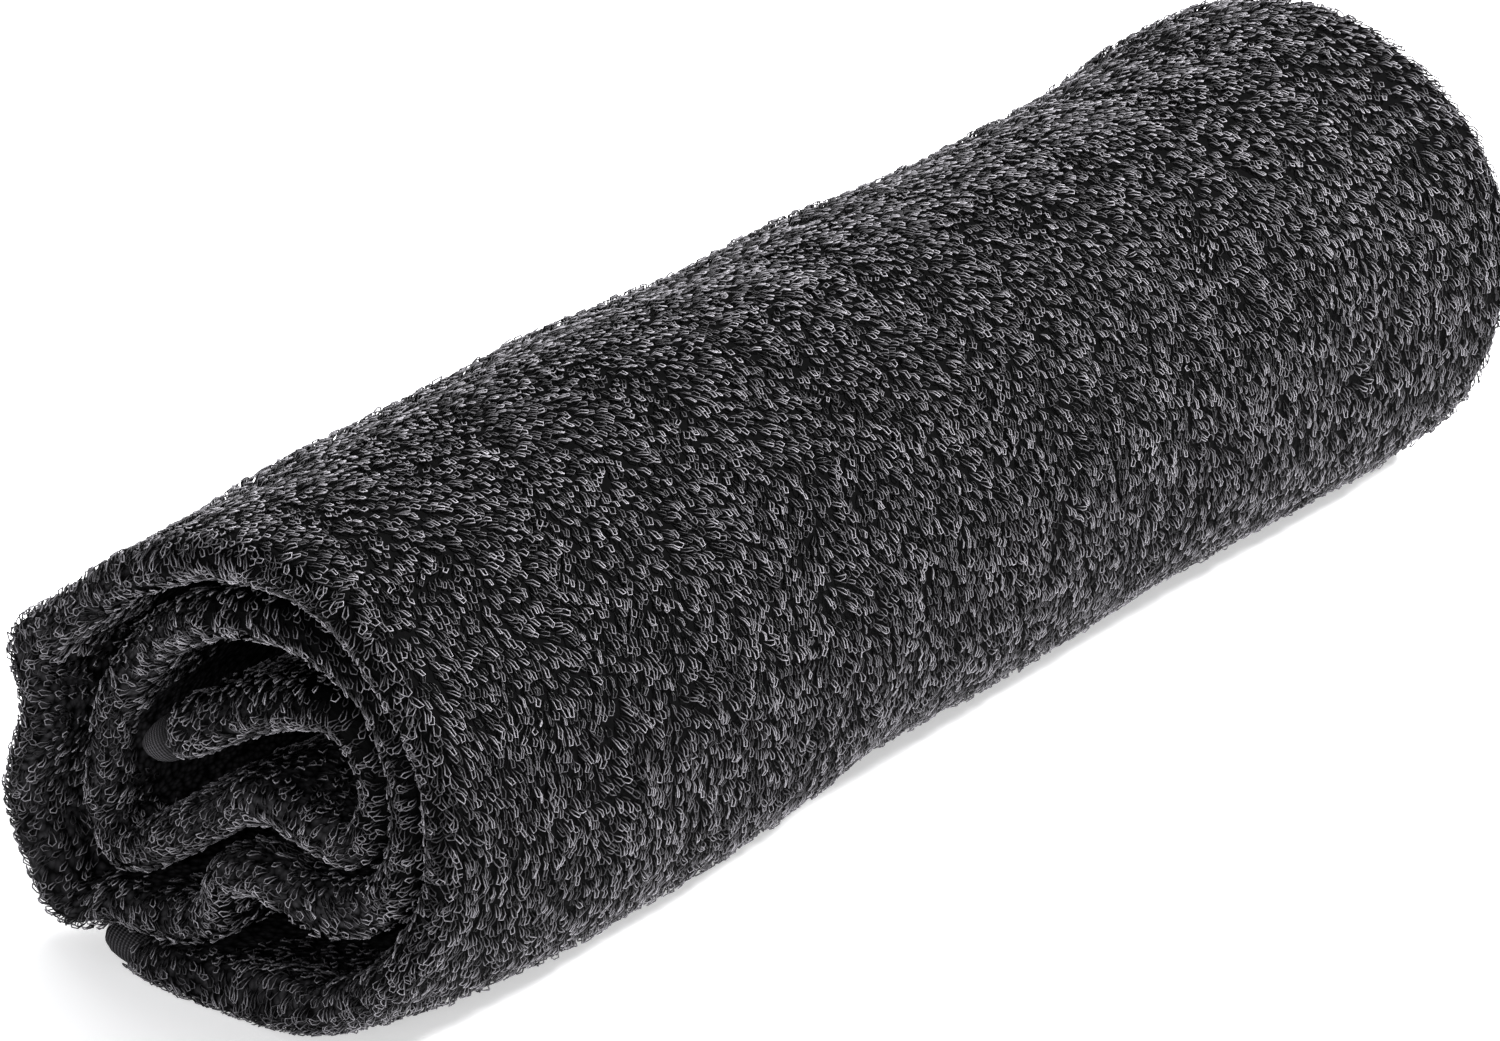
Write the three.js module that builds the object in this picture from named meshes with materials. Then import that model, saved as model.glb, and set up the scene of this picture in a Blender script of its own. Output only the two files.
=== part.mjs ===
// A rolled terry bath towel, in millimetres, +Z up.
// The towel is folded twice along its length into a band of four layers, and the band is
// wound across the towel's width, with slack turns at its heart. The roll lies along X, with
// the folded end of the band at -X. The band's shape across the roll is a smooth line through
// the table of bends, made as thick as the turns beside it allow, and the same band is
// carried from end to end while the roll swells, narrows and twists a little.
// Origin: middle of the underside.
import * as THREE from "three";

const ROLL_LENGTH = 350; // the towel's length of 1400 mm, folded in four
const BAND_HALF = 4.8; // half the thickness of four layers with their pile
const SLACK_HALF = 6; // at the inner selvedge, where nothing presses the layers together
const SLACK_REACH = 55; // how far along the band the slack lasts
const TURN_GAP = 0.9; // least gap between turns that press on each other
const ROLL_RADIUS = 50; // mean outer radius, which the swells are measured against
const FLOOR_LEVEL = -45.2; // the surface that the roll's weight flattens it on
const EDGE_ROUND = 5; // radius of the band's rounded edges
const THINNEST = 0.34; // share of the thickness left at the very edge
const WIDEST_STEP = 8.5; // spacing of the samples along the band where it is nearly straight
const FINEST_STEP = 3.2; // and in its tightest turns
const STEP_TURN = 0.3; // the most that the band turns from one sample to the next, in radians
const APART = 15; // stretches further apart than this along the band count as two turns
const BEND_CLEARANCE = 0.8; // share of a bend's radius that the band may fill on its inside
const HEART_TWIST = 0.6; // how far the roll's heart turns, in radians, from end to end

// Places on the band's middle line, across the roll at its near end, from the inner
// selvedge to the outer one. `back` is how far that stretch is drawn into the end.
const BENDS = [
  { at: "inner selvedge", y: 28.5, z: -1.5, back: 4 },
  { at: "tongue", y: 11, z: 9, back: 4 },
  { at: "tongue", y: -7, z: 17.8, back: 4 },
  { at: "tongue top", y: -20, z: 20, back: 4 },
  { at: "heart, left", y: -26.5, z: 13, back: 4 },
  { at: "heart, left", y: -27.5, z: 3, back: 4 },
  { at: "heart turns back", y: -23.5, z: -4.2, back: 4 },
  { at: "heart lobe", y: -15, z: -3.6, back: 3 },
  { at: "heart lobe", y: -4, z: -1.5, back: 2 },
  { at: "heart lobe", y: 9, z: -7.5, back: 2 },
  { at: "heart lobe", y: 22, z: -17, back: 1 },
  { at: "lobe turns up", y: 30.5, z: -21.5, back: 1 },
  { at: "lobe turns up", y: 36.2, z: -17, back: 1 },
  { at: "second turn, right", y: 36, z: -5, back: 1.5 },
  { at: "second turn, right", y: 31, z: 9.5, back: 2 },
  { at: "second turn, top", y: 19, z: 25, back: 2 },
  { at: "second turn, top", y: 3, z: 33, back: 2 },
  { at: "second turn, top", y: -14, z: 34.5, back: 2 },
  { at: "second turn, left", y: -29, z: 28.5, back: 2 },
  { at: "second turn, left", y: -37, z: 15, back: 1.5 },
  { at: "second turn, left", y: -37.5, z: 0, back: 1 },
  { at: "lower lobe", y: -29.5, z: -12, back: 1 },
  { at: "lower lobe", y: -15, z: -16.2, back: 0.5 },
  { at: "lower lobe", y: -2.5, z: -14.6, back: 0 },
  { at: "lobe turns down", y: 4.8, z: -18, back: 0 },
  { at: "lobe turns down", y: 8.2, z: -26, back: 0 },
  { at: "under the lobe", y: 16, z: -31.2, back: 0 },
  { at: "under the lobe", y: 31, z: -32, back: 0 },
  { at: "outer turn, right", y: 41, z: -31, back: -0.5 },
  { at: "outer turn, right", y: 47.5, z: -24.5, back: -1 },
  { at: "outer turn, right", y: 50.2, z: -11, back: -2.5 },
  { at: "outer turn, right", y: 47.2, z: 3, back: -2.5 },
  { at: "outer turn, right", y: 45.8, z: 12.5, back: -2.5 },
  { at: "outer turn, right", y: 39.5, z: 23.5, back: -2 },
  { at: "outer turn, top", y: 24, z: 36, back: -1 },
  { at: "outer turn, top", y: 5, z: 44, back: 0 },
  { at: "outer turn, top", y: -15, z: 45.2, back: 0 },
  { at: "outer turn, left", y: -33, z: 36, back: 0 },
  { at: "outer turn, left", y: -44, z: 21, back: 0 },
  { at: "outer turn, left", y: -46.5, z: 3, back: 0 },
  { at: "outer turn, left", y: -41.5, z: -15, back: 0 },
  { at: "underside", y: -30, z: -29.5, back: 0 },
  { at: "underside", y: -16, z: -38.2, back: 0 },
  { at: "underside", y: 1, z: -41.8, back: 0 },
  { at: "underside", y: 17, z: -42.2, back: 0 },
  { at: "underside", y: 30, z: -42, back: 0 },
  { at: "outer selvedge", y: 38, z: -41.2, back: 0 },
];

// How the roll swells along its length: `along` runs from 0 at the near end to 1 at the
// far end, `crown` is the swell of its upper far side and `cheek` of its lower near side.
const SWELLS = [
  { along: 0, crown: 0, cheek: 0 },
  { along: 0.08, crown: 0.5, cheek: 4.6 },
  { along: 0.16, crown: 2.4, cheek: 6.6 },
  { along: 0.26, crown: 4.0, cheek: 7.6 },
  { along: 0.33, crown: 4.3, cheek: 6.2 },
  { along: 0.4, crown: 4.1, cheek: 3.8 },
  { along: 0.5, crown: 3.6, cheek: 4.5 },
  { along: 0.65, crown: 3.2, cheek: 4.4 },
  { along: 0.79, crown: 3.5, cheek: 5.0 },
  { along: 0.86, crown: 5.0, cheek: 5.9 },
  { along: 0.92, crown: 8.4, cheek: 6.8 },
  { along: 1, crown: 8.8, cheek: 6.0 },
];
const CROWN_DIRECTION = new THREE.Vector2(0.595, 0.804); // across the roll, as (y, z)

// Distances of the sections from either end, in millimetres; between them they are even.
const END_SECTIONS = [0, 1.2, 3.2, 7];
const MIDDLE_SECTIONS = 12;
const TIP_SAMPLES = [1.5, 4]; // distances of the samples that round off the band's two tips

const smooth = (t) => t * t * (3 - 2 * t);

// The share of the thickness that is left at a distance from a rounded edge.
function roundedShare(distance) {
  const inside = Math.min(distance / EDGE_ROUND, 1);
  return THINNEST + (1 - THINNEST) * Math.sqrt(1 - (1 - inside) ** 2);
}

// The middle line of the band: its places, its normals and its half thickness on each side.
function bandLine() {
  const curve = new THREE.CatmullRomCurve3(
    BENDS.map((b) => new THREE.Vector3(b.back, b.y, b.z)),
    false,
    "centripetal",
  );
  curve.arcLengthDivisions = 2000;
  const length = curve.getLength();
  const arcs = [0, ...TIP_SAMPLES];
  const last = length - TIP_SAMPLES.at(-1);
  while (last - arcs.at(-1) > WIDEST_STEP) {
    const here = curve.getTangentAt(arcs.at(-1) / length);
    let step = WIDEST_STEP;
    while (step > FINEST_STEP) {
      const ahead = curve.getTangentAt((arcs.at(-1) + step) / length);
      if (here.angleTo(ahead) < STEP_TURN) break;
      step -= 0.5;
    }
    arcs.push(arcs.at(-1) + step);
  }
  arcs.push(...TIP_SAMPLES.map((d) => length - d).reverse(), length);

  const places = arcs.map((s) => curve.getPointAt(s / length));
  const samples = places.map((p, i) => {
    const before = places[Math.max(i - 1, 0)];
    const after = places[Math.min(i + 1, places.length - 1)];
    const along = new THREE.Vector2(after.y - before.y, after.z - before.z).normalize();
    const normal = new THREE.Vector2(-along.y, along.x);
    return { back: p.x, y: p.y, z: p.z, normal, arc: arcs[i], length };
  });
  samples.forEach((s, i) => {
    s.half = [1, -1].map((side) => halfThickness(samples, i, side));
  });
  return samples;
}

// Half the band's thickness on one side of a sample: the full amount, or what the turn
// beside it or the inside of its own bend leaves.
function halfThickness(samples, i, side) {
  const s = samples[i];
  const slack = smooth(Math.max(0, 1 - s.arc / SLACK_REACH));
  let half = BAND_HALF + (SLACK_HALF - BAND_HALF) * slack;
  for (let j = 0; j + 1 < samples.length; j++) {
    const [a, b] = [samples[j], samples[j + 1]];
    if (Math.min(Math.abs(a.arc - s.arc), Math.abs(b.arc - s.arc)) < APART) continue;
    const step = new THREE.Vector2(b.y - a.y, b.z - a.z);
    const away = new THREE.Vector2(a.y - s.y, a.z - s.z);
    const t = Math.min(Math.max(-away.dot(step) / step.lengthSq(), 0), 1);
    away.addScaledVector(step, t);
    if (away.dot(s.normal) * side <= 0) continue;
    half = Math.min(half, (away.length() - TURN_GAP) / 2);
  }
  const before = samples[Math.max(i - 1, 0)];
  const after = samples[Math.min(i + 1, samples.length - 1)];
  const turned = before.normal.angleTo(after.normal);
  if (turned > 0.05) {
    const radius = (after.arc - before.arc) / turned;
    const inside = new THREE.Vector2(
      (before.y + after.y) / 2 - s.y,
      (before.z + after.z) / 2 - s.z,
    ).dot(s.normal);
    if (inside * side > 0) half = Math.min(half, radius * BEND_CLEARANCE);
  }
  const edge = Math.min(s.arc, s.length - s.arc);
  return half * roundedShare(edge);
}

// The swell of the roll at a share of its length, from the rows on either side of it.
function swellAt(share, name) {
  const next = Math.max(1, SWELLS.findIndex((row) => row.along >= share));
  const a = SWELLS[next - 1];
  const b = SWELLS[next];
  const t = smooth((share - a.along) / (b.along - a.along));
  return a[name] + (b[name] - a[name]) * t;
}

// Moves a place across the roll as the roll swells and its heart twists at that share of
// its length, and lays it no lower than the surface underneath.
function settled(y, z, share) {
  const p = new THREE.Vector2(y, z);
  const reach = p.length() / ROLL_RADIUS;
  const twist = HEART_TWIST * smooth(share) * Math.max(0, 1 - reach * reach);
  p.rotateAround(new THREE.Vector2(), twist);
  const facing = p.dot(CROWN_DIRECTION) / ROLL_RADIUS;
  const swell = facing > 0 ? swellAt(share, "crown") : swellAt(share, "cheek");
  p.addScaledVector(CROWN_DIRECTION, Math.sign(facing) * swell * Math.abs(facing) ** 1.5);
  return new THREE.Vector2(p.x, Math.max(p.y, FLOOR_LEVEL));
}

// One closed outline of the band across the roll, down one side and back up the other.
function outline(samples, share, fromEnd) {
  const endShare = roundedShare(fromEnd);
  const side = (s, k) => {
    const reach = s.half[k] * endShare * (k === 0 ? 1 : -1);
    const p = settled(s.y + s.normal.x * reach, s.z + s.normal.y * reach, share);
    const x = (share - 0.5) * ROLL_LENGTH + s.back * (1 - share) * (1 - share);
    return new THREE.Vector3(x, p.x, p.y);
  };
  return [
    ...samples.map((s) => side(s, 0)),
    ...samples.map((s) => side(s, 1)).reverse(),
  ];
}

function rollGeometry() {
  const samples = bandLine();
  const shares = END_SECTIONS.map((d) => d / ROLL_LENGTH);
  const first = END_SECTIONS.at(-1) / ROLL_LENGTH;
  for (let i = 1; i <= MIDDLE_SECTIONS; i++) {
    shares.push(first + ((1 - 2 * first) * i) / (MIDDLE_SECTIONS + 1));
  }
  shares.push(...END_SECTIONS.map((d) => 1 - d / ROLL_LENGTH).reverse());

  const rings = shares.map((share) =>
    outline(samples, share, Math.min(share, 1 - share) * ROLL_LENGTH),
  );
  const count = rings[0].length;
  const positions = rings.flat().flatMap((p) => [p.x, p.y, p.z]);
  const triangles = [];
  for (let r = 0; r + 1 < rings.length; r++) {
    for (let i = 0; i < count; i++) {
      const j = (i + 1) % count;
      const [a, b] = [r * count + i, r * count + j];
      triangles.push(a, a + count, b, b, a + count, b + count);
    }
  }
  // Each end is closed by a ladder of faces between the band's two sides.
  const far = (rings.length - 1) * count;
  for (let i = 0; i + 1 < samples.length; i++) {
    const [a, b, c, d] = [i, i + 1, count - 1 - i, count - 2 - i];
    triangles.push(a, b, c, b, d, c);
    triangles.push(far + a, far + c, far + b, far + b, far + c, far + d);
  }
  const geometry = new THREE.BufferGeometry();
  geometry.setAttribute("position", new THREE.Float32BufferAttribute(positions, 3));
  geometry.setIndex(triangles);
  geometry.computeBoundingBox();
  const box = geometry.boundingBox;
  const middle = box.getCenter(new THREE.Vector3());
  geometry.translate(-middle.x, -middle.y, -box.min.z);
  geometry.computeVertexNormals();
  return geometry;
}

function terryCloth() {
  return new THREE.MeshStandardMaterial({
    color: new THREE.Color().setRGB(0.045, 0.043, 0.047),
    roughness: 0.9,
    metalness: 0,
  });
}

const towel = new THREE.Group();
const roll = new THREE.Mesh(rollGeometry(), terryCloth());
roll.name = "towel_roll";
towel.add(roll);

export default towel;
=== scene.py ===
"""A rolled bath towel of dark terry cloth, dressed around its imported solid.

The towel is one sheet of cloth, 700 x 1400 mm, folded twice along its length into a band of
four layers and wound across its width. The sheet is built in mesh code on the section that
the solid has: a line through a table of bends, with the layers spaced across its thickness.
The pile is thousands of small closed loops of yarn, joined into a few pieces.
Sections are worked out in millimetres, and everything is placed in metres.
"""

import math

import bpy
import numpy as np
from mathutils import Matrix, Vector


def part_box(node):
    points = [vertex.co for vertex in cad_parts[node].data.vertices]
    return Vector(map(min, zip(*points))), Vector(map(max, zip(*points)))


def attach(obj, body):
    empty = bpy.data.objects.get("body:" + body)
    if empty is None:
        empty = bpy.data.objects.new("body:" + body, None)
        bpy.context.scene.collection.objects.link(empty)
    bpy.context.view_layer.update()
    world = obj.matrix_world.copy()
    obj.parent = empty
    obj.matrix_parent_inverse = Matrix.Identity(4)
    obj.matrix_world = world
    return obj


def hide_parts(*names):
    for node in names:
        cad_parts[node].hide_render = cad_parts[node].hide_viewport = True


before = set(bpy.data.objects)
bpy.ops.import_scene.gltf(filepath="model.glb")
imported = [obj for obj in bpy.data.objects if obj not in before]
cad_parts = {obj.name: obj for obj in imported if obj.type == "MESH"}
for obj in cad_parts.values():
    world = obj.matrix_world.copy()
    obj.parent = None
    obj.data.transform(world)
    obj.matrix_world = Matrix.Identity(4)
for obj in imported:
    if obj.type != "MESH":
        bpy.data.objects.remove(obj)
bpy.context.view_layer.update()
NODE = "towel_roll"
BODY = "root"
MM = 0.001
SEED = 41

# The cloth and the roll, in millimetres, as in the part's source
ROLL_LENGTH = 350.0
BAND_HALF = 4.8  # half the band's thickness
SLACK_HALF = 6.0  # the same at the inner selvedge, where the band is slack
SLACK_REACH = 55.0  # how far along the band it is slack
TURN_GAP = 0.9  # between two turns
ROLL_RADIUS = 50.0
FLOOR_LEVEL = -45.2
EDGE_ROUND = 5.0  # how far in from its edges the band is rounded
THINNEST = 0.34  # the share of the thickness at the edge itself
APART = 15.0  # along the band, before two places count as beside each other
BEND = 0.02  # from this many radians a millimetre, the line counts as bent
BEND_CLEARANCE = 0.8  # the share of its radius that a bend's inside may fill
HEART_TWIST = 0.6  # radians, from the near end to the far end
CROWN = np.array([0.595, 0.804])  # the direction in which the roll swells

# In the scene alone, the turns close up on each other in the middle of the roll
CLOSED_WITHIN = (135.0, 60.0)  # from the middle: where that starts, and where it is complete
PILE = 0.7  # how much of the room between two turns the loops of each take
FACING = 0.8  # how straight across another turn has to lie, as the cosine to the outward line

# Places on the band's middle line at the near end: across, up, and how far drawn in
BENDS = [
    (28.5, -1.5, 4),  # inner selvedge
    (11, 9, 4),
    (-7, 17.8, 4),
    (-20, 20, 4),
    (-26.5, 13, 4),
    (-27.5, 3, 4),
    (-23.5, -4.2, 4),  # the heart turns back
    (-15, -3.6, 3),
    (-4, -1.5, 2),
    (9, -7.5, 2),
    (22, -17, 1),
    (30.5, -21.5, 1),  # its lobe turns up
    (36.2, -17, 1),
    (36, -5, 1.5),
    (31, 9.5, 2),
    (19, 25, 2),
    (3, 33, 2),
    (-14, 34.5, 2),
    (-29, 28.5, 2),
    (-37, 15, 1.5),
    (-37.5, 0, 1),
    (-29.5, -12, 1),
    (-15, -16.2, 0.5),
    (-2.5, -14.6, 0),
    (4.8, -18, 0),  # the lower lobe turns down
    (8.2, -26, 0),
    (16, -31.2, 0),
    (31, -32, 0),
    (41, -31, -0.5),  # the outer turn
    (47.5, -24.5, -1),
    (50.2, -11, -2.5),
    (47.2, 3, -2.5),
    (45.8, 12.5, -2.5),
    (39.5, 23.5, -2),
    (24, 36, -1),
    (5, 44, 0),
    (-15, 45.2, 0),
    (-33, 36, 0),
    (-44, 21, 0),
    (-46.5, 3, 0),
    (-41.5, -15, 0),
    (-30, -29.5, 0),
    (-16, -38.2, 0),
    (1, -41.8, 0),
    (17, -42.2, 0),
    (30, -42, 0),
    (38, -41.2, 0),  # outer selvedge
]

# The roll's swells along its length, from the near end to the far end:
# share of the length, swell of the upper far side, swell of the lower near side
SWELLS = np.array(
    [
        (0, 0, 0),
        (0.08, 0.5, 4.6),
        (0.16, 2.4, 6.6),
        (0.26, 4.0, 7.6),
        (0.33, 4.3, 6.2),
        (0.4, 4.1, 3.8),
        (0.5, 3.6, 4.5),
        (0.65, 3.2, 4.4),
        (0.79, 3.5, 5.0),
        (0.86, 5.0, 5.9),
        (0.92, 8.4, 6.8),
        (1, 8.8, 6.0),
    ]
)

# Where the band moves outwards at its near end, and where its outer and inner sides swell
# there: place at the near end, width round the roll, rise. Also in the scene alone.
NEAR_FLARES = (
    ((43.0, -30.5), 6.0, 9.0),
    ((49.0, -21.0), 10.0, 7.0),
    ((46.5, 14.0), 8.0, 3.4),
)
NEAR_SWELLS = (
    ((47.0, -27.0), 10.0, 2.5),
    ((46.0, 13.0), 7.0, 4.8),
    ((-16.0, -16.0), 12.0, 4.4),
)
NEAR_INNER_SWELLS = (((-7.0, -40.5), 14.0, 5.0),)
NEAR_REACH = 20.0  # how far that reaches along the roll

# The layers across the band, as shares of its half thickness, outward positive: each has the
# towel's face that is outermost on the roll, then the other face.
OUTER_TOP = (0.77, 0.55)
OUTER_UNDER = (0.12, 0.34)
INNER_TOP = (-0.12, -0.34)
INNER_UNDER = (-0.77, -0.55)
FAR_FOLD = (OUTER_TOP[0] + OUTER_UNDER[0]) / 2
FAR_FOLD_RADIUS = (OUTER_TOP[0] - OUTER_UNDER[0]) / 2
NEAR_STRAIGHT = -170.1  # where the near folds begin to turn
FAR_STRAIGHT = 171.6  # where the far fold begins to turn
SELVEDGE_WIDTH = 12.0
HEM_WIDTH = 13.0
FLAT_FADE = 1.5  # over which the flat weave ends

rng = np.random.default_rng(SEED)


# Section of the band


def smooth(t):
    return t * t * (3 - 2 * t)


def evened(values, reach):
    """The values, each as the mean of those up to that many steps away."""
    count = 2 * reach + 1
    return np.convolve(np.pad(values, reach, "edge"), np.ones(count) / count, "valid")


def rounded_share(distance):
    """The share of the thickness left at a distance from a rounded edge."""
    inside = np.clip(distance / EDGE_ROUND, 0, 1)
    return THINNEST + (1 - THINNEST) * np.sqrt(1 - (1 - inside) ** 2)


def middle_line():
    """The centripetal Catmull-Rom line through the bends, as (back, across, up), with a place
    for every millimetre."""
    bends = np.array([(back, y, z) for y, z, back in BENDS], float)
    ends = [2 * bends[0] - bends[1], *bends, 2 * bends[-1] - bends[-2]]
    line = []
    for p0, p1, p2, p3 in zip(ends, ends[1:], ends[2:], ends[3:]):
        d0, d1, d2 = (math.sqrt(np.linalg.norm(b - a)) for a, b in ((p0, p1), (p1, p2), (p2, p3)))
        m1 = d1 * ((p1 - p0) / d0 - (p2 - p0) / (d0 + d1) + (p2 - p1) / d1)
        m2 = d1 * ((p2 - p1) / d1 - (p3 - p1) / (d1 + d2) + (p3 - p2) / d2)
        t = np.linspace(0, 1, 40, endpoint=False)[:, None]
        line.append(
            (2 * t**3 - 3 * t**2 + 1) * p1
            + (t**3 - 2 * t**2 + t) * m1
            + (3 * t**2 - 2 * t**3) * p2
            + (t**3 - t**2) * m2
        )
    line = np.concatenate([*line, bends[-1:]])
    arc = np.concatenate([[0], np.cumsum(np.linalg.norm(np.diff(line, axis=0), axis=1))])
    even = np.linspace(0, arc[-1], int(arc[-1]) + 1)
    return even, np.stack([np.interp(even, arc, line[:, k]) for k in range(3)], 1)


class Band:
    """The wound band: its middle line with the unit directions outward from it, and for each
    side the half thickness, the room beside it, and the slack, by which it may still thicken."""

    def __init__(self):
        self.arc, line = middle_line()
        self.length = self.arc[-1]
        self.back = line[:, 0]
        self.place = line[:, 1:]
        along = np.gradient(self.place, axis=0)
        along /= np.linalg.norm(along, axis=1)[:, None]
        self.outward = np.stack([along[:, 1], -along[:, 0]], 1)
        angle = np.unwrap(np.arctan2(along[:, 1], along[:, 0]))
        self.bend = np.gradient(angle, self.arc)
        away = self.place[None] - self.place[:, None]
        distance = np.linalg.norm(away, axis=2)
        apart = np.abs(self.arc[None] - self.arc[:, None]) >= APART
        slack = smooth(np.clip(1 - self.arc / SLACK_REACH, 0, 1))
        full = BAND_HALF + (SLACK_HALF - BAND_HALF) * slack
        edge = rounded_share(np.minimum(self.arc, self.length - self.arc))
        radius = 1 / np.maximum(np.abs(self.bend), 1e-6)
        self.half, self.room, self.slack = {}, {}, {}
        for side in (1, -1):
            beside = (away * self.outward[:, None]).sum(2) * side
            clear = np.where(apart & (beside > 0), distance, np.inf).min(1)
            half = np.minimum(full, (clear - TURN_GAP) / 2)
            # a positive bend has its inside on the inward side
            inside = self.bend * side < -BEND
            half = np.where(inside, np.minimum(half, radius * BEND_CLEARANCE), half)
            half = evened(half, 3)
            self.half[side] = half * edge
            self.room[side] = clear - half - full
            across = apart & (beside > FACING * distance)
            opposite = np.where(across, distance, np.inf).min(1)
            spare = np.maximum((opposite / 2 - PILE) / OUTER_TOP[0] - half, 0)
            spare = np.where(np.isfinite(opposite), spare, 0)
            spare = np.where(inside, np.minimum(spare, np.maximum(radius - half, 0)), spare)
            self.slack[side] = evened(spare, 5) * edge
        self.near_flare = self.rises(NEAR_FLARES)
        self.near_swell = {1: self.rises(NEAR_SWELLS), -1: self.rises(NEAR_INNER_SWELLS)}

    def rises(self, table):
        """The rises of a table of places, widths and rises, along the whole band."""
        total = np.zeros_like(self.arc)
        for place, width, rise in table:
            middle = self.arc[np.hypot(*(self.place - place).T).argmin()]
            total += rise * np.exp(-(((self.arc - middle) / width) ** 2))
        return total

    def at(self, arc, values):
        return np.interp(arc, self.arc, values)

    def mean_half(self, arc):
        return (self.at(arc, self.half[1]) + self.at(arc, self.half[-1])) / 2


band = Band()


def waves(across, along, size, seed, count=7):
    """A smooth random field of about -1 to 1 over two coordinates, from a few plane waves."""
    own = np.random.default_rng(SEED + seed)
    angle = own.uniform(0, 2 * np.pi, count)
    pace = 2 * np.pi / (size * own.uniform(0.7, 1.6, count))
    phase = own.uniform(0, 2 * np.pi, count)
    total = 0
    for a, k, p in zip(angle, pace, phase):
        total = total + np.sin(k * (np.cos(a) * across + np.sin(a) * along) + p)
    return total * math.sqrt(2 / count) / 1.6


# Soft troughs and ridges on the roll: the share of the length and the angle round the roll, from
# +Y towards +Z, at both ends, then the width round the roll and the depth, in millimetres
DENTS = [
    (0.22, 128, 0.52, 116, 7.0, 0.9),
    (0.30, 163, 0.86, 140, 8.0, 0.8),
    (0.12, 186, 0.36, 200, 9.0, 0.8),
    (0.55, 190, 0.90, 178, 9.0, 0.7),
    (0.10, 60, 0.60, 75, 9.0, 0.8),
    (0.45, 30, 0.95, 40, 8.0, 0.9),
    (0.20, 345, 0.70, 355, 9.0, 0.8),
]
DENT_END = 14.0  # how far a dent fades out beyond its ends


def dent_depth(share, turn):
    """How far the surface is pressed in, by the dents and by a slow unevenness."""
    depth = 0.45 * waves(turn * ROLL_RADIUS, share * ROLL_LENGTH, 55, seed=3)
    for share_a, angle_a, share_b, angle_b, width, deep in DENTS:
        t = np.clip((share - share_a) / (share_b - share_a), 0, 1)
        angle = np.radians(angle_a + (angle_b - angle_a) * t)
        off = np.abs((turn - angle + np.pi) % (2 * np.pi) - np.pi) * ROLL_RADIUS
        past = np.maximum(share_a - share, share - share_b) * ROLL_LENGTH
        fade = np.exp(-((np.maximum(past, 0) / DENT_END) ** 2))
        fade = fade * np.sin(np.pi * np.clip(t, 0.12, 0.88))
        depth = depth + deep * np.exp(-((off / width) ** 2)) * fade
    return depth


def settled(across, up, share):
    """Moves places across the roll as it twists, swells and dents at that share of its length,
    and keeps them over the floor."""
    reach = np.hypot(across, up) / ROLL_RADIUS
    twist = HEART_TWIST * smooth(share) * np.maximum(0, 1 - reach**2)
    c, s = np.cos(twist), np.sin(twist)
    across, up = across * c - up * s, across * s + up * c
    facing = (across * CROWN[0] + up * CROWN[1]) / ROLL_RADIUS
    row = np.clip(np.searchsorted(SWELLS[:, 0], share), 1, len(SWELLS) - 1)
    a, b = SWELLS[row - 1], SWELLS[row]
    t = smooth((share - a[..., 0]) / (b[..., 0] - a[..., 0]))
    swell = a + (b - a) * t[..., None]
    push = np.where(facing > 0, swell[..., 1], swell[..., 2]) * np.sign(facing)
    push = push * np.abs(facing) ** 1.5
    across, up = across + CROWN[0] * push, up + CROWN[1] * push
    # Only the outer turns are dented
    radius = np.maximum(np.hypot(across, up), 1e-6)
    turn = np.arctan2(up, across)
    pressed = dent_depth(share, turn) * np.clip(radius / ROLL_RADIUS - 0.7, 0, 0.25) * 4
    scale = 1 - pressed / radius
    return across * scale, np.maximum(up * scale, FLOOR_LEVEL)


def towel_point(arc, station, spread, ahead, swollen=1):
    """A place in the roll: arc along the band, station along X, spread as a share of the half
    thickness (outward positive), and ahead, how far beyond the straight part, in shares too.
    With swollen at 0 it leaves out what the scene adds to the solid's section."""
    fade = np.exp(-(station + ROLL_LENGTH / 2) / NEAR_REACH) * swollen
    starts, complete = CLOSED_WITHIN
    closed = smooth(np.clip((starts - np.abs(station)) / (starts - complete), 0, 1)) * swollen
    outer, inner = (
        band.at(arc, band.half[side])
        + band.at(arc, band.near_swell[side]) * fade
        + band.at(arc, band.slack[side]) * closed
        for side in (1, -1)
    )
    half = np.where(spread > 0, outer, inner)
    share = np.clip(station / ROLL_LENGTH + 0.5, 0, 1)
    off = spread * half + band.at(arc, band.near_flare) * fade
    across = band.at(arc, band.place[:, 0]) + band.at(arc, band.outward[:, 0]) * off
    up = band.at(arc, band.place[:, 1]) + band.at(arc, band.outward[:, 1]) * off
    # The ends of the band are a little uneven, and drawn in towards the heart
    uneven = 0.9 * waves(arc, 0 * arc, 38, seed=11) * (1 - share) ** 3
    uneven = uneven + 1.3 * waves(arc, 0 * arc + 90, 60, seed=12) * share**6
    drawn_in = band.at(arc, band.back) * (1 - share) ** 2
    x = station + ahead * band.mean_half(arc) + drawn_in + uneven
    across, up = settled(across, up, share)
    return np.stack([x, across, up], -1)


def roll_placement():
    """Where the roll's own origin lies in the frame, in millimetres, from the solid's box."""
    stations = np.linspace(-ROLL_LENGTH / 2, ROLL_LENGTH / 2, 25)
    arc, station = np.meshgrid(band.arc, stations)
    rim = [towel_point(arc, station, np.full_like(arc, side), 0 * arc, 0) for side in (1.0, -1.0)]
    y = np.concatenate([p[..., 1].ravel() for p in rim])
    lo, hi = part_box(NODE)
    near = ROLL_LENGTH / 2 + lo.x / MM
    far = hi.x / MM - ROLL_LENGTH / 2
    middle = (lo.y + hi.y) / 2 / MM
    return np.array([max(near, far), middle - (y.min() + y.max()) / 2, -FLOOR_LEVEL])


ORIGIN = roll_placement()


def to_frame(points):
    return (points + ORIGIN) * MM


# The sheet of cloth


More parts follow.
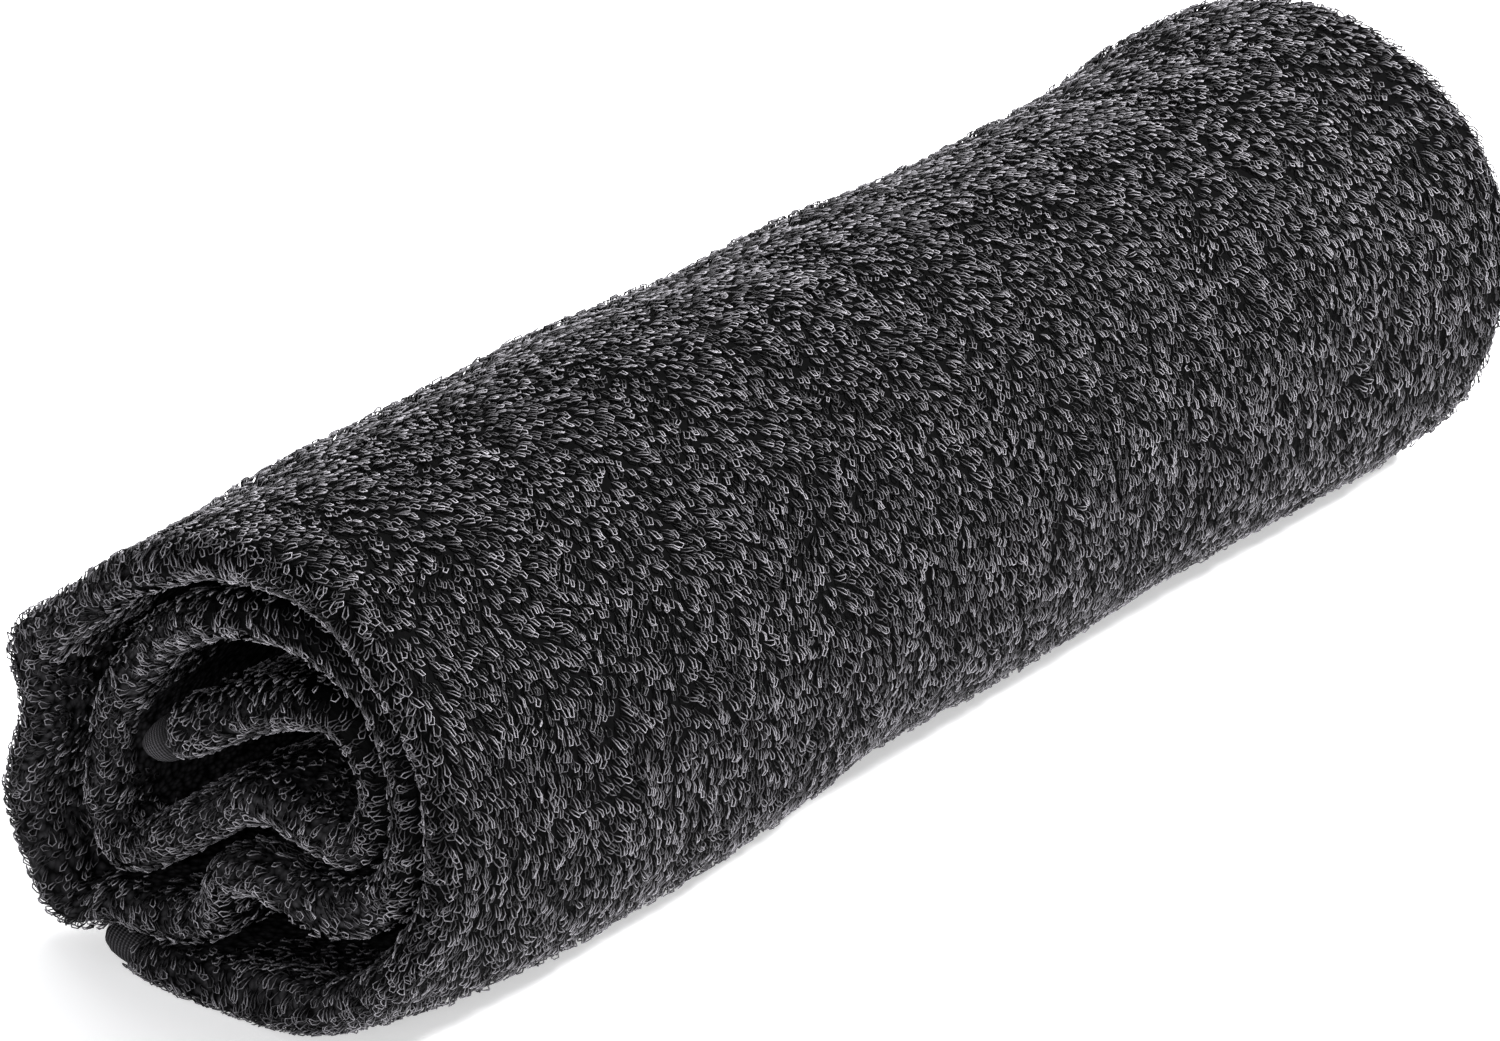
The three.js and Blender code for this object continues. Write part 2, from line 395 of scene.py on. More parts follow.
def near_fold(layer, start, end, count):
    """Rows round a fold at the near end, from one angle to another in degrees."""
    face, back = layer
    turns = np.radians(np.linspace(start, end, count))[1:-1]
    return [
        (NEAR_STRAIGHT, -face * c, -back * c, face * s, back * s)
        for c, s in zip(np.cos(turns), np.sin(turns))
    ]


def far_fold():
    """Rows round the fold at the far end, which joins the two outer layers."""
    face, back = FAR_FOLD_RADIUS, FAR_FOLD_RADIUS - (OUTER_TOP[0] - OUTER_TOP[1])
    turns = np.radians(np.linspace(0, 180, 8))[1:-1]
    return [
        (FAR_STRAIGHT, face * s, back * s, FAR_FOLD + face * c, FAR_FOLD + back * c)
        for c, s in zip(np.cos(turns), np.sin(turns))
    ]


def cloth_rows():
    """The rows across the folded sheet, from the innermost layer's hem to the other hem: each has
    its station, how far ahead of it the two faces lie, and their places across the band."""
    fine = np.linspace(FAR_STRAIGHT, NEAR_STRAIGHT, 58)
    coarse = np.linspace(FAR_STRAIGHT, NEAR_STRAIGHT, 24)
    rows = [(x, 0, 0, *INNER_UNDER) for x in coarse]
    rows += near_fold(OUTER_TOP, -90, 90, 11)
    rows += [(x, 0, 0, *OUTER_TOP) for x in fine[::-1]]
    rows += far_fold()
    rows += [(x, 0, 0, *OUTER_UNDER) for x in coarse]
    rows += near_fold(OUTER_UNDER, 90, -90, 8)
    rows += [(x, 0, 0, *INNER_TOP) for x in coarse[::-1]]
    return np.array(rows)


def sheet_columns():
    """Arcs along the band where the sheet has its columns, closer at its tips and where it
    bends, where each step turns by about 0.16 radians."""
    arcs = [0.0, 1.2, 3.0, 6.0]
    while band.length - arcs[-1] > 9:
        bend = max(abs(band.at(arcs[-1], band.bend)), 1e-3)
        arcs.append(arcs[-1] + min(5.6, max(2.2, 0.16 / bend)))
    arcs += [band.length - d for d in (3.0, 1.2, 0.0)]
    return np.array(arcs)


def mesh_object(name, points, faces, material):
    """A mesh object of quads and triangles, smooth shaded. Points are in metres."""
    mesh = bpy.data.meshes.new(name)
    counts = np.concatenate([np.full(len(f), f.shape[1]) for f in faces])
    corners = np.concatenate([f.ravel() for f in faces]).astype(np.int32)
    mesh.vertices.add(len(points))
    mesh.vertices.foreach_set("co", points.astype(np.float32).ravel())
    mesh.loops.add(len(corners))
    mesh.loops.foreach_set("vertex_index", corners)
    mesh.polygons.add(len(counts))
    starts = np.concatenate([[0], np.cumsum(counts)[:-1]]).astype(np.int32)
    mesh.polygons.foreach_set("loop_start", starts)
    mesh.polygons.foreach_set("use_smooth", np.ones(len(counts), bool))
    mesh.update(calc_edges=True)
    mesh.validate()
    mesh.materials.append(material)
    piece = bpy.data.objects.new(name, mesh)
    bpy.context.scene.collection.objects.link(piece)
    return piece


def add_attribute(piece, name, values):
    """A named vector for each vertex, which the piece's material reads."""
    layer = piece.data.attributes.new(name, "FLOAT_VECTOR", "POINT")
    layer.data.foreach_set("vector", values.astype(np.float32).ravel())


def make_sheet(material):
    rows, arcs = cloth_rows(), sheet_columns()
    arc, station = np.meshgrid(arcs, rows[:, 0])
    faces = []
    for ahead, spread in ((rows[:, 1], rows[:, 3]), (rows[:, 2], rows[:, 4])):
        wide = np.ones_like(arcs)[None]
        faces.append(towel_point(arc, station, spread[:, None] * wide, ahead[:, None] * wide))
    points = np.concatenate([f.reshape(-1, 3) for f in faces])

    n, m = len(rows), len(arcs)
    index = np.arange(n * m).reshape(n, m)
    back = index + n * m
    quads = np.stack([index[:-1, :-1], index[:-1, 1:], index[1:, 1:], index[1:, :-1]], -1)
    quads = quads.reshape(-1, 4)
    rims = [
        np.stack([a[:-1], b[:-1], b[1:], a[1:]], -1)
        for a, b in (
            (index[0], back[0]),
            (back[-1], index[-1]),
            (back[:, 0], index[:, 0]),
            (index[:, -1], back[:, -1]),
        )
    ]
    quads = np.concatenate([quads, (quads + n * m)[:, ::-1], *rims])
    sheet = mesh_object("terry_sheet", to_frame(points), [quads], material)

    # The cloth's own coordinates: across its width, along its length, and 1 on a flat weave
    steps = np.linalg.norm(np.diff(faces[0][:, m // 2], axis=0), axis=1)
    length = np.concatenate([[0], np.cumsum(steps)])
    edge = np.minimum(arcs, band.length - arcs)
    hem = np.minimum(length, length[-1] - length)
    flat_selvedge = np.clip((SELVEDGE_WIDTH - edge) / FLAT_FADE, 0, 1)
    flat_hem = np.clip((HEM_WIDTH - hem) / FLAT_FADE, 0, 1)
    flat = np.maximum(flat_selvedge[None], flat_hem[:, None])
    cloth = np.stack([arc * MM, length[:, None] * MM + 0 * arc, flat], -1).reshape(-1, 3)
    add_attribute(sheet, "cloth", np.concatenate([cloth, cloth]))

    # And 1 where the loops over it are sparse, where the ground's painted shade is lighter
    sparse = np.clip((loop_scale(arc) - 1) / FAR_SIDE_SCALE, 0, 1)
    cover = np.stack([sparse, 0 * sparse, 0 * sparse], -1).reshape(-1, 3)
    add_attribute(sheet, "cover", np.concatenate([cover, cover]))
    return sheet


# The loops of the pile


def near_face(arc, reach):
    """Places on the cloth's outer face around the near folds: reach is measured along the face
    from the fold's foremost line, outward positive. Also works all along the roll's outside."""
    radius = OUTER_TOP[0] * band.mean_half(arc)
    turn = np.clip(reach / radius, -np.pi / 2, np.pi / 2)
    straight = np.maximum(np.abs(reach) - radius * np.pi / 2, 0)
    station = NEAR_STRAIGHT + straight
    return towel_point(arc, station, OUTER_TOP[0] * np.sin(turn), -OUTER_TOP[0] * np.cos(turn))


def far_face(arc, reach):
    """The same around the far fold, which joins the two outer layers: reach is measured from
    where the fold begins, negative on the roll's outside."""
    radius = FAR_FOLD_RADIUS * band.mean_half(arc)
    turn = np.clip(reach / radius, 0, np.pi)
    past = np.maximum(reach - radius * np.pi, 0)
    station = FAR_STRAIGHT + np.minimum(reach, 0) - past
    spread = FAR_FOLD + FAR_FOLD_RADIUS * np.cos(turn)
    return towel_point(arc, station, spread, FAR_FOLD_RADIUS * np.sin(turn))


def inner_face(arc, reach):
    """Places on the band's inner face: reach is the distance from the hem at the far end."""
    spread = np.full_like(arc, INNER_UNDER[0])
    return towel_point(arc, FAR_STRAIGHT - reach, spread, 0 * arc)


def frames(face, arc, reach, step=0.25):
    """Places on a face with the unit directions along the band, along the reach and outward."""
    place = face(arc, reach)
    along = face(arc + step, reach) - face(arc - step, reach)
    onward = face(arc, reach + step) - face(arc, reach - step)
    along /= np.linalg.norm(along, axis=1)[:, None]
    out = np.cross(along, onward)
    out /= np.linalg.norm(out, axis=1)[:, None]
    return place, along, np.cross(out, along), out


def arc_stretch(face, arc, reach, step=1.0):
    """How much longer the face is there than the band's middle line, as round a bend."""
    apart = face(arc + step, reach) - face(arc - step, reach)
    return np.maximum(np.linalg.norm(apart, axis=1) / (2 * step), 0.7)


def scatter(arc_range, reach_range, pitch):
    """Places over a stretch of cloth, in staggered rows, each shaken a little."""
    arcs = np.arange(*arc_range, pitch)
    reaches = np.arange(*reach_range, pitch)
    arc, reach = np.meshgrid(arcs, reaches)
    arc[1::2] += pitch / 2
    shake = rng.uniform(-0.5, 0.5, (2, *arc.shape)) * pitch * ROOT_SHAKE
    return (arc + shake[0]).ravel(), (reach + shake[1]).ravel()


# A loop of yarn from root to root, as shares of its length, its width and its rise
ROUND_LOOP = np.array(
    [
        (0.0, -0.08, -0.3),
        (0.45, -0.3, 0.65),
        (0.85, -0.5, 1.0),
        (1.05, 0.0, 1.0),
        (0.85, 0.5, 1.0),
        (0.45, 0.3, 0.65),
        (0.0, 0.08, -0.3),
    ]
)
FINE_LOOP = np.array(
    [
        (0.0, -0.1, -0.35),
        (0.52, -0.42, 0.75),
        (0.96, -0.33, 1.0),
        (0.96, 0.33, 1.0),
        (0.52, 0.42, 0.75),
        (0.0, 0.1, -0.35),
    ]
)
PLAIN_LOOP = np.array(
    [
        (0.0, -0.16, -0.35),
        (0.66, -0.5, 0.85),
        (1.0, 0.0, 1.0),
        (0.66, 0.5, 0.85),
        (0.0, 0.16, -0.35),
    ]
)
LOOP_LENGTH = 2.85
LOOP_WIDTH = 1.3
LENGTH_SHARES = (0.72, 1.2)  # the least and the most, from loop to loop
WIDTH_SHARES = (0.65, 1.2)
LEAST_RISE = 0.65  # of the lowest loops, as a share of their height
RISE_RANGE = 0.7  # by what share of it the highest rise more
MOST_DROOP = 0.45  # by what share of its rise a loop's tip may hang down
TILT = 0.25  # how much the loops are turned about their length, in radians
CURL = 0.15  # how much they bend aside, as a share of their length
ROOT_SHAKE = 0.6  # how far their roots are off their rows, as a share of the pitch
YARN_SIDES = 3
YARN_RADIUS = 0.165
YARN_TRAVEL = 2.2  # the yarn's way round a loop, as a share of the loop's length
TUCK = 0.5  # how far the loops keep from the band's edges
ROOT_SHADE = 0.12  # painted shade at a loop's root: how dark it is there, as a share of its tone at the tip
FLANK_SHADE = 0.3  # painted shade on the yarn's sides that face the cloth, which leaves a painted highlight along its top ridge: how dark those sides are
LOWEST_LOOP_SHADE = 0.3  # painted shade on the lower loops: how dark the lowest are, as a share of the tone of the highest

# Where the loops lie, and how closely
BODY_PITCH = 1.66  # from loop to loop on the roll's front
NEAR_PITCH = 1.75  # and at its near end
LOOP_SIZE = 0.9  # the scale of those loops
FAR_FOLD_PITCH = 1.9
FAR_WALL_PITCH = 2.5
FAR_SIZE = 1.3
FRONT_ANGLE = 143.0  # degrees round the roll, from +Y towards +Z
UNDER_ANGLE = -90.0
FAR_SIDE_SCALE = 0.45  # by how much the loops are larger on the far side
UNDER_SCALE = 0.75  # and on the underside
FAR_END_SCALE = 0.08  # and towards the far end
PLAIN_FROM = 1.17  # the scale from which the loops have the plain shape
FINE_REACH = 26.0  # up to where the loops by the near end are finer all round the roll
NEAR_DEEPEST = 38.0  # how far into the near end there are loops
LEAST_ROOM = 0.6  # beside the band, from where its side can be seen into the end
SEEN_SHARE = 4.5  # how far in, for each millimetre of room above that
SEEN_RANGE = (4.0, 32.0)  # and how far at the least and at the most
DEEP_FROM = 4.5  # behind its folds, from where they are sparser
DEEP_KEPT = 0.72  # the share of them that stays there
HANG = 0.4  # how much the loops at the near end lean downwards
TONGUE_BARE = 12.5  # how far the flat selvedge shows at the tongue in its middle
OUTER_TUCK = np.array([40, -31])  # where the outer turn comes out over the outer selvedge
OUTER_FROM = 0.45  # the share of the band's length before the outer turn


def loop_lines(shape, face, places, size, height):
    """The yarn's middle lines in loops that follow the face as they lie over it, the directions
    outward from the cloth along them, and each loop's length and rank, from the lowest at 0 to
    the highest at 1."""
    arc, reach, lean = places
    count = len(arc)
    length = LOOP_LENGTH * size * rng.uniform(*LENGTH_SHARES, count)
    width = LOOP_WIDTH * size * rng.uniform(*WIDTH_SHARES, count)
    rank = rng.uniform(0, 1, count)
    rise = height * (LEAST_RISE + RISE_RANGE * rank)
    droop = rng.uniform(0.0, MOST_DROOP, count)
    tilt = rng.normal(0, TILT, count)
    curl = rng.normal(0, CURL, count) * length

    a, b, c = shape.T
    forward = length[:, None] * a
    sideways = (width * np.cos(tilt))[:, None] * b + curl[:, None] * a**2
    lift = rise[:, None] * c * (1 - droop[:, None] * np.maximum(a - 0.5, 0) * 2)
    lift = lift + (width * np.sin(tilt) * 0.8)[:, None] * b
    cos, sin = np.cos(lean)[:, None], np.sin(lean)[:, None]
    stretch = arc_stretch(face, arc, reach)[:, None]
    arcs = arc[:, None] + (forward * cos - sideways * sin) / stretch
    arcs = np.clip(arcs, TUCK, band.length - TUCK)
    reaches = reach[:, None] + forward * sin + sideways * cos
    place, _, _, out = frames(face, arcs.ravel(), reaches.ravel())
    lines = (place + out * lift.reshape(-1, 1)).reshape(count, len(shape), 3)
    return lines, out.reshape(lines.shape), length, rank


def yarn_corners(lines, out, turns, size):
    """The corners of the yarn's section along each line, one for each of the turns round it."""
    tangent = np.gradient(lines, axis=1)
    tangent /= np.linalg.norm(tangent, axis=2)[..., None]
    across = np.cross(tangent, out)
    across /= np.linalg.norm(across, axis=2)[..., None]
    third = np.cross(across, tangent)
    radius = (YARN_RADIUS * np.sqrt(size))[:, None, None]
    rings = [lines + radius * (math.cos(t) * across + math.sin(t) * third) for t in turns]
    points = np.stack(rings, 2)
    points[..., 2] = np.maximum(points[..., 2], FLOOR_LEVEL)
    return points


def make_loops(name, shape, face, places, size, height, material):
    """One piece of many loops. places holds each loop's arc, reach and lean, an angle from the
    arc towards the reach; size is its scale, and height how far its tip stands off the cloth in
    millimetres."""
    lines, out, length, rank = loop_lines(shape, face, places, size, height)
    count, steps, _ = lines.shape
    turns = 2 * np.pi * np.arange(YARN_SIDES) / YARN_SIDES + np.pi / 2
    points = yarn_corners(lines, out, turns, size)

    index = np.arange(count * steps * YARN_SIDES).reshape(count, steps, YARN_SIDES)
    after = np.roll(index, -1, axis=2)
    walls = np.stack([index[:, :-1], after[:, :-1], after[:, 1:], index[:, 1:]], -1)
    caps = np.concatenate([index[:, 0, ::-1], index[:, -1]])
    faces = [walls.reshape(-1, 4), caps]
    piece = mesh_object(name, to_frame(points.reshape(-1, 3)), faces, material)

    # For the material: the way along the yarn, the angle round it, and its tone, which holds
    # painted shade: darker at the root, on the lower loops and on the yarn's flanks, so that its
    # top ridge reads as a painted highlight
    way = (YARN_TRAVEL * length)[:, None, None] * MM
    travelled = np.linspace(0, 1, steps)[None, :, None] * way
    # painted shade: the yarn darker towards the loop's roots
    depth = ROOT_SHADE + (1 - ROOT_SHADE) * np.clip(shape[:, 2], 0, 1)
    # painted shade: the lower loops darker than the higher ones
    tone = (LOWEST_LOOP_SHADE + (1 - LOWEST_LOOP_SHADE) * rank)[:, None, None] * depth[None, :, None]
    # painted shade on the yarn's flanks, leaving its top ridge as a painted highlight
    flank_shade = FLANK_SHADE + (1 - FLANK_SHADE) * (turns == turns[0])
    full = np.ones((count, steps, YARN_SIDES))
    yarn = np.stack([travelled * full, turns * full, tone * flank_shade], -1)
    add_attribute(piece, "yarn", yarn.reshape(-1, 3))
    return piece


def open_stretch():
    """The arc where the outer turn begins to lie open on the roll's outside."""
    away = np.hypot(*(band.place - OUTER_TUCK).T)
    outer = band.arc > OUTER_FROM * band.length
    return band.arc[outer][away[outer].argmin()]


def angle_between(angle, other):
    return np.abs((angle - other + 180) % 360 - 180)


def loop_scale(arc):
    """How much larger and sparser the loops are round the roll: 1 where the light falls on the
    roll's front and top, more on the far side, and most on the underside."""
    y, z = (band.at(arc, band.outward[:, k]) for k in (0, 1))
    facing = np.degrees(np.arctan2(z, y))
    far_side = smooth(np.clip((angle_between(facing, FRONT_ANGLE) - 70) / 26, 0, 1))
    under = smooth(np.clip((38 - angle_between(facing, UNDER_ANGLE)) / 16, 0, 1))
    return 1 + FAR_SIDE_SCALE * far_side + UNDER_SCALE * under


def body_loops(material):
    """The loops all over the roll's outside, leaning down round it, in a few pieces along it."""
    start, end = open_stretch(), band.length - SELVEDGE_WIDTH + 0.5
    half_fold = OUTER_TOP[0] * BAND_HALF * np.pi / 2
    span = half_fold + FAR_STRAIGHT - NEAR_STRAIGHT
    arc, reach = scatter((start, end), (half_fold * 0.3, span), BODY_PITCH)
    beyond = smooth(np.clip(reach / FINE_REACH, 0, 1))
    coarse = 1 + (loop_scale(arc) - 1) * beyond
    coarse = coarse * (1 + FAR_END_SCALE * smooth(np.clip(reach / span * 2 - 1, 0, 1)))
    kept = rng.uniform(0, 1, len(arc)) < 1 / coarse**2
    arc, reach, size = arc[kept], reach[kept], LOOP_SIZE * coarse[kept]

    # They lean in swirls of two sizes
    lean = 0.42 * waves(arc, reach, 26, seed=21) + 0.35 * waves(arc, reach, 9, seed=22)
    lean = lean + rng.normal(0, 0.2, len(arc))
    height = size * (1 + 0.22 * waves(arc, reach, 11, seed=23))
    pieces = []
    plain = loop_scale(arc) > PLAIN_FROM
    for label, shape, group, parts in (
        ("fine", FINE_LOOP, ~plain, 3),
        ("plain", PLAIN_LOOP, plain, 2),
    ):
        part = np.minimum((reach / span * parts).astype(int), parts - 1)
        for k in range(parts):
            own = group & (part == k)
            name = f"pile_{label}_{k + 1}"
            places = (arc[own], reach[own], lean[own])
            pieces.append(
                make_loops(name, shape, near_face, places, size[own], height[own], material)
            )
    return pieces


def shown_depth(arc, side):
    """How far into the end the band's side can be seen, which depends on the room beside it."""
    room = band.at(arc, band.room[side])
    return np.clip((room - LEAST_ROOM) * SEEN_SHARE, *SEEN_RANGE)


def near_end_loops(material):
    """The loops on the rounded folds at the near end and in the hollows between its turns."""
    start = open_stretch()
    edges = (TONGUE_BARE, band.length - SELVEDGE_WIDTH + 2.5)
    arc, reach = scatter(edges, (-NEAR_DEEPEST, NEAR_DEEPEST), NEAR_PITCH)
    fold = OUTER_TOP[0] * band.mean_half(arc) * np.pi / 2
    depth = np.abs(reach) - fold
    side_depth = np.where(reach > 0, shown_depth(arc, 1), shown_depth(arc, -1))
    outside = arc > start
    on_body = (reach > 0.8 * fold) & outside  # there, the loops of the body cover the fold
    deep = depth > DEEP_FROM
    picked = rng.uniform(0, 1, len(arc)) < DEEP_KEPT
    kept = (depth < side_depth) & ~on_body & (~deep | picked)
    arc, reach, fold, deep, outside = (v[kept] for v in (arc, reach, fold, deep, outside))

    # They lean out of the end, hang a little, lie down along the outer rim, and lie back from
    # the bare selvedge of the tongue
    _, along, onward, _ = frames(near_face, arc, reach)
    towards = -np.sign(reach) * np.clip(np.abs(reach) / fold, 0.35, 1)
    swirl = 0.9 * waves(arc, reach, 34, seed=31) + 0.35 * waves(arc, reach, 9, seed=32)
    swirl = swirl + rng.normal(0, 0.25, len(arc))
    rim = np.where(outside, np.clip(reach / fold, 0, 1), 0)
    by_arc = np.sin(swirl) - HANG * along[:, 2] + 1.2 * rim
    by_arc = by_arc + 0.9 * np.exp(-(((arc - TONGUE_BARE) / 4) ** 2))
    by_reach = towards * np.cos(swirl) * (1 - 0.6 * rim) - HANG * onward[:, 2]
    lean = np.arctan2(by_reach, by_arc)
    pieces = []
    for name, shape, own, size, height in (
        ("pile_near_end", ROUND_LOOP, ~deep, LOOP_SIZE, 0.9),
        ("pile_near_hollows", PLAIN_LOOP, deep, 1.0, 1.0),
    ):
        places = (arc[own], reach[own], lean[own])
        full = np.ones(own.sum())
        pieces.append(
            make_loops(name, shape, near_face, places, size * full, height * full, material)
        )
    return pieces


def far_end_loops(material):
    """The loops on the far fold and on the band's inner face behind the far hem."""
    edges = (SELVEDGE_WIDTH - 0.5, band.length - SELVEDGE_WIDTH + 0.5)
    fold = scatter(edges, (0.3, 4.2), FAR_FOLD_PITCH)
    arc, reach = scatter(edges, (HEM_WIDTH, 34), FAR_WALL_PITCH)
    shown = reach < shown_depth(arc, -1)
    wall = (arc[shown], reach[shown])
    pieces = []
    for name, face, (arc, reach) in (
        ("pile_far_fold", far_face, fold),
        ("pile_far_hollows", inner_face, wall),
    ):
        lean = 1.2 * waves(arc, reach, 30, seed=41) + rng.normal(0, 0.6, len(arc))
        places = (arc, reach, lean)
        size = np.full(len(arc), FAR_SIZE)
        pieces.append(make_loops(name, PLAIN_LOOP, face, places, size, size, material))
    return pieces


# Materials


def new_material(name):
    material = bpy.data.materials.new(name)
    material.use_nodes = True
    nodes = material.node_tree.nodes
    return material, nodes, material.node_tree.links, nodes["Principled BSDF"]


def add_math(nodes, links, operation, *inputs):
    node = nodes.new("ShaderNodeMath")
    node.operation = operation
    for socket, value in zip(node.inputs, inputs):
        if isinstance(value, (int, float)):
            socket.default_value = value
        else:
            links.new(value, socket)
    return node.outputs[0]


def add_ramp(nodes, links, factor, *stops):
    node = nodes.new("ShaderNodeValToRGB")
    elements = node.color_ramp.elements
    for element, (place, colour) in zip(elements, stops):
        element.position = place
        element.color = (*colour, 1)
    links.new(factor, node.inputs[0])
    return node.outputs[0]


def add_attribute_node(nodes, links, name):
    node = nodes.new("ShaderNodeAttribute")
    node.attribute_name = name
    split = nodes.new("ShaderNodeSeparateXYZ")
    links.new(node.outputs["Vector"], split.inputs[0])
    return node.outputs["Vector"], split.outputs


def add_bump(nodes, links, height, distance, strength):
    node = nodes.new("ShaderNodeBump")
    node.inputs["Strength"].default_value = strength
    node.inputs["Distance"].default_value = distance
    links.new(height, node.inputs["Height"])
    return node.outputs[0]


YARN_TWIST = 0.0006  # metres of yarn for a turn of its twist
# The yarn's colours run from its deepest painted shade to the painted highlight on the top ridges
# of the highest loops
YARN_PAINTED_SHADE = (0.001, 0.001, 0.0011)
YARN_PAINTED_HIGHLIGHT = (0.63, 0.61, 0.656)
RIB_PITCH = 0.00095  # metres between the ribs of the flat weave
PICK_PITCH = 0.00055  # metres between the threads along them
# The ground's dark is painted shade under the pile, and also the troughs of the flat weave's ribs
PILE_SHADE_AND_RIB_DARK = (0.0014, 0.0014, 0.0015)
CLOTH_LIGHT = (0.100, 0.097, 0.104)


def yarn_material():
    """The pile's cotton yarn: charcoal and twisted, with painted shade low down in the pile and
    on the yarn's flanks, and a painted highlight along its top ridges.
    """
    material, nodes, links, shader = new_material("charcoal_yarn")
    _, (along, around, shade) = add_attribute_node(nodes, links, "yarn")
    # the tone, raised to a power, narrows the painted highlight along the yarn's ridges
    lit = add_math(nodes, links, "POWER", shade, 2.55)
    tone = add_ramp(nodes, links, lit, (0.0, YARN_PAINTED_SHADE), (1.0, YARN_PAINTED_HIGHLIGHT))
    links.new(tone, shader.inputs["Base Color"])
    twist = add_math(nodes, links, "MULTIPLY_ADD", along, 2 * math.pi / YARN_TWIST, around)
    ply = add_math(nodes, links, "SINE", twist)
    links.new(add_bump(nodes, links, ply, 0.00006, 0.5), shader.inputs["Normal"])
    rough = add_math(nodes, links, "MULTIPLY_ADD", shade, 0.1, 0.36)
    links.new(rough, shader.inputs["Roughness"])
    shader.inputs["Specular IOR Level"].default_value = 0.12
    return material


def add_ribs(nodes, links, way, pitch):
    """A wave with its crests that far apart."""
    turns = add_math(nodes, links, "MULTIPLY", way, 2 * math.pi / pitch)
    return add_math(nodes, links, "SINE", turns)


def cloth_material():
    """The ground weave under the pile, painted near black as the pile's shade and lighter with a
    cell pattern where the loops are sparse, and the flat ribbed weave of the selvedges and hems.
    """
    material, nodes, links, shader = new_material("charcoal_cloth")
    vector, (across, along, flat) = add_attribute_node(nodes, links, "cloth")
    cells = nodes.new("ShaderNodeTexVoronoi")
    cells.inputs["Scale"].default_value = 700
    links.new(vector, cells.inputs["Vector"])
    rib = add_ribs(nodes, links, across, RIB_PITCH)
    pick = add_ribs(nodes, links, along, PICK_PITCH)
    weave = add_math(nodes, links, "MULTIPLY_ADD", pick, 0.3, rib)
    mixed = nodes.new("ShaderNodeMix")
    links.new(flat, mixed.inputs["Factor"])
    links.new(cells.outputs["Distance"], mixed.inputs["A"])
    links.new(weave, mixed.inputs["B"])
    bump = add_bump(nodes, links, mixed.outputs["Result"], 0.0003, 0.9)
    links.new(bump, shader.inputs["Normal"])
    raised = add_math(nodes, links, "MULTIPLY_ADD", weave, 0.38, 0.5)
    shown = add_math(nodes, links, "MULTIPLY", flat, raised)
    _, (sparse, _, _) = add_attribute_node(nodes, links, "cover")
    crest = add_math(nodes, links, "MULTIPLY_ADD", cells.outputs["Distance"], -1.3, 1.0)
    bare = add_math(nodes, links, "MULTIPLY", sparse, 0.4)
    fuzz = add_math(nodes, links, "MULTIPLY", bare, crest)
    shown = add_math(nodes, links, "MAXIMUM", shown, fuzz)
    # near black as painted shade under the pile, lighter on the ribs and where the loops are
    # sparse
    tone = add_ramp(nodes, links, shown, (0.0, PILE_SHADE_AND_RIB_DARK), (1.0, CLOTH_LIGHT))
    links.new(tone, shader.inputs["Base Color"])
    shader.inputs["Roughness"].default_value = 0.85
    shader.inputs["Specular IOR Level"].default_value = 0.03
    return material


# Stage, lights and camera

FOCAL_MM = 120.0
SENSOR_MM = 36.0
CAMERA_FROM_AXIS = np.array([-726.3, -550.3, 406.9])
AIM_FROM_AXIS = np.array([-13.2, 11.9, -7.5])
FLOOR_HALF = 20.0  # metres
FLOOR_TONES = ((0.3, (0.86, 0.86, 0.87)), (0.7, (0.89, 0.89, 0.9)))
FLOOR_GLOW = 0.5
LIT_PLACE = (0, 0, 0.05)  # what the lights face
LIGHTS = (  # name, place, size and power
    ("key", (0.9, -1.2, 1.6), (0.45, 0.45), 118),
    ("top", (0.5, 1.0, 1.7), (1.2, 1.0), 22),
    ("end_fill", (-2.0, -0.8, 0.75), (0.9, 0.9), 17.5),
    ("back_fill", (0.2, 2.0, 0.9), (1.4, 1.0), 14),
)


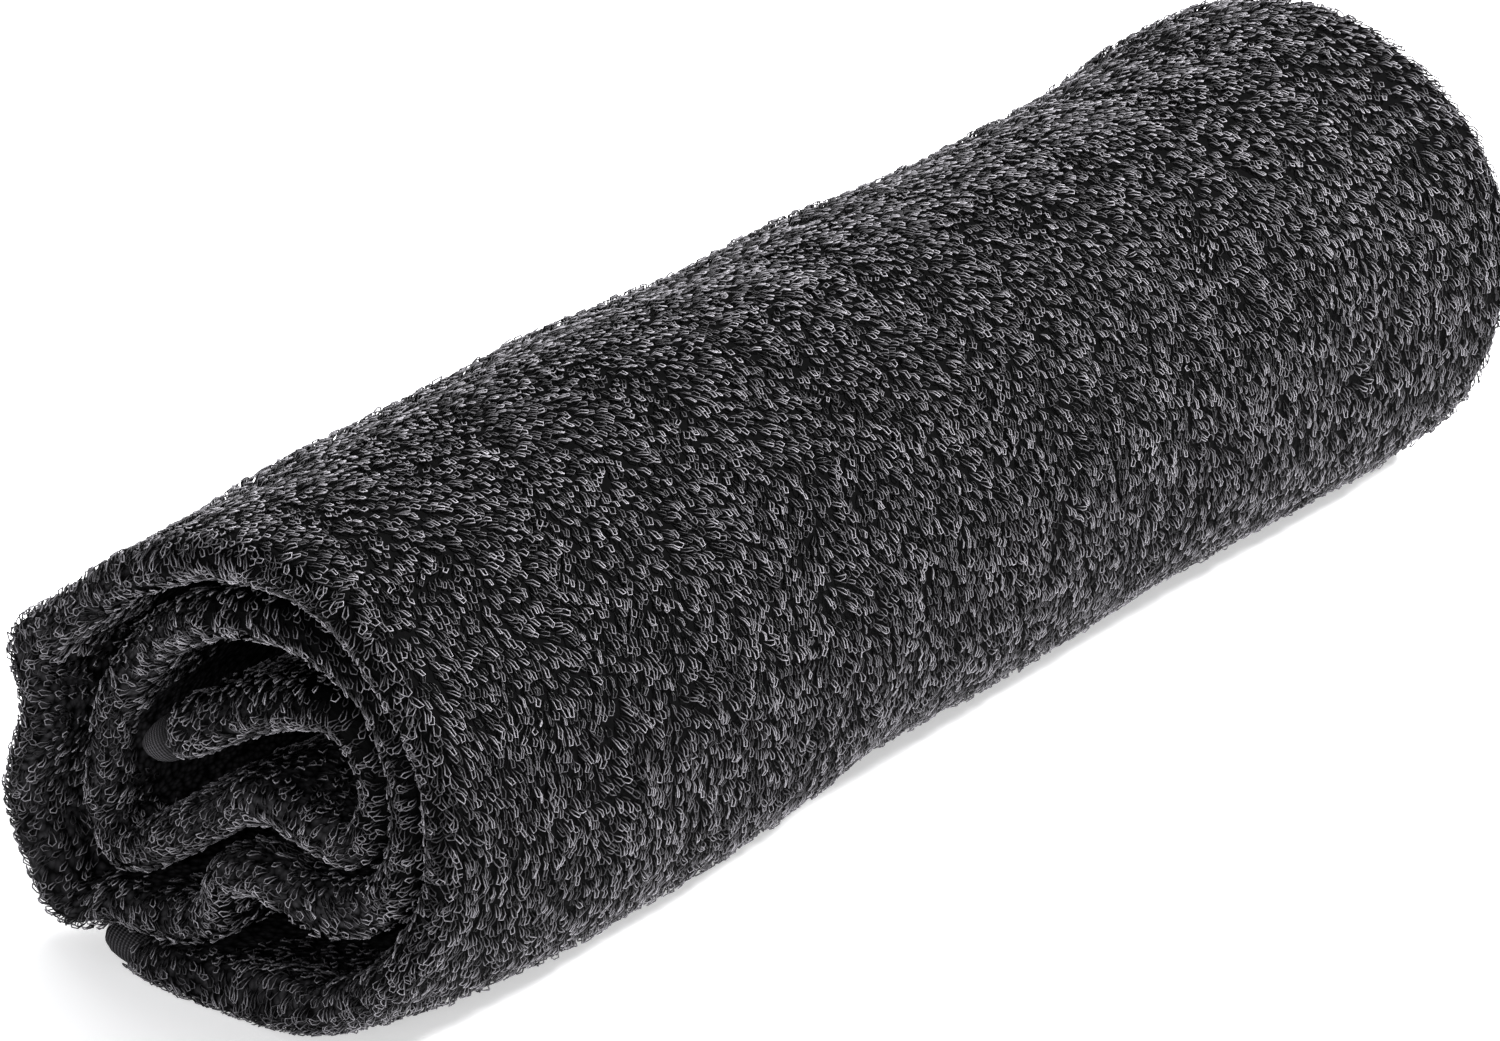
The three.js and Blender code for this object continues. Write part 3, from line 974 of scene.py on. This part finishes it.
def make_stage():
    material, nodes, links, shader = new_material("pale_floor")
    grain = nodes.new("ShaderNodeTexNoise")
    grain.inputs["Scale"].default_value = 3.0
    tone = add_ramp(nodes, links, grain.outputs["Fac"], *FLOOR_TONES)
    links.new(tone, shader.inputs["Base Color"])
    shader.inputs["Roughness"].default_value = 0.9
    shader.inputs["Emission Color"].default_value = (1, 1, 1, 1)
    shader.inputs["Emission Strength"].default_value = FLOOR_GLOW
    corners = np.array([(-1, -1, 0), (1, -1, 0), (1, 1, 0), (-1, 1, 0)]) * FLOOR_HALF
    floor = mesh_object("floor", corners, [np.array([[0, 1, 2, 3]])], material)


def make_light(name, place, size, power):
    data = bpy.data.lights.new(name, "AREA")
    data.shape = "RECTANGLE"
    data.size, data.size_y = size
    data.energy = power
    light = bpy.data.objects.new(name, data)
    light.location = place
    towards = Vector(LIT_PLACE) - Vector(place)
    light.rotation_euler = towards.to_track_quat("-Z", "Y").to_euler()
    bpy.context.scene.collection.objects.link(light)


def make_lights():
    for light in LIGHTS:
        make_light(*light)
    world = bpy.data.worlds.new("studio")
    bpy.context.scene.world = world
    world.use_nodes = True
    background = world.node_tree.nodes["Background"]
    background.inputs["Color"].default_value = (0.95, 0.96, 1.0, 1)
    background.inputs["Strength"].default_value = 0.25


def make_camera():
    data = bpy.data.cameras.new("camera")
    data.lens = FOCAL_MM
    data.sensor_width = SENSOR_MM
    camera = bpy.data.objects.new("camera", data)
    place = Vector((ORIGIN + CAMERA_FROM_AXIS) * MM)
    aim = Vector((ORIGIN + AIM_FROM_AXIS) * MM)
    camera.location = place
    camera.rotation_euler = (aim - place).to_track_quat("-Z", "Y").to_euler()
    bpy.context.scene.collection.objects.link(camera)
    bpy.context.scene.camera = camera


bpy.context.scene.view_settings.view_transform = "Standard"
make_camera()
make_stage()
make_lights()
yarn = yarn_material()
sheet = make_sheet(cloth_material())
pile = [*body_loops(yarn), *near_end_loops(yarn), *far_end_loops(yarn)]
for piece in (sheet, *pile):
    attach(piece, BODY)
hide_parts(NODE)
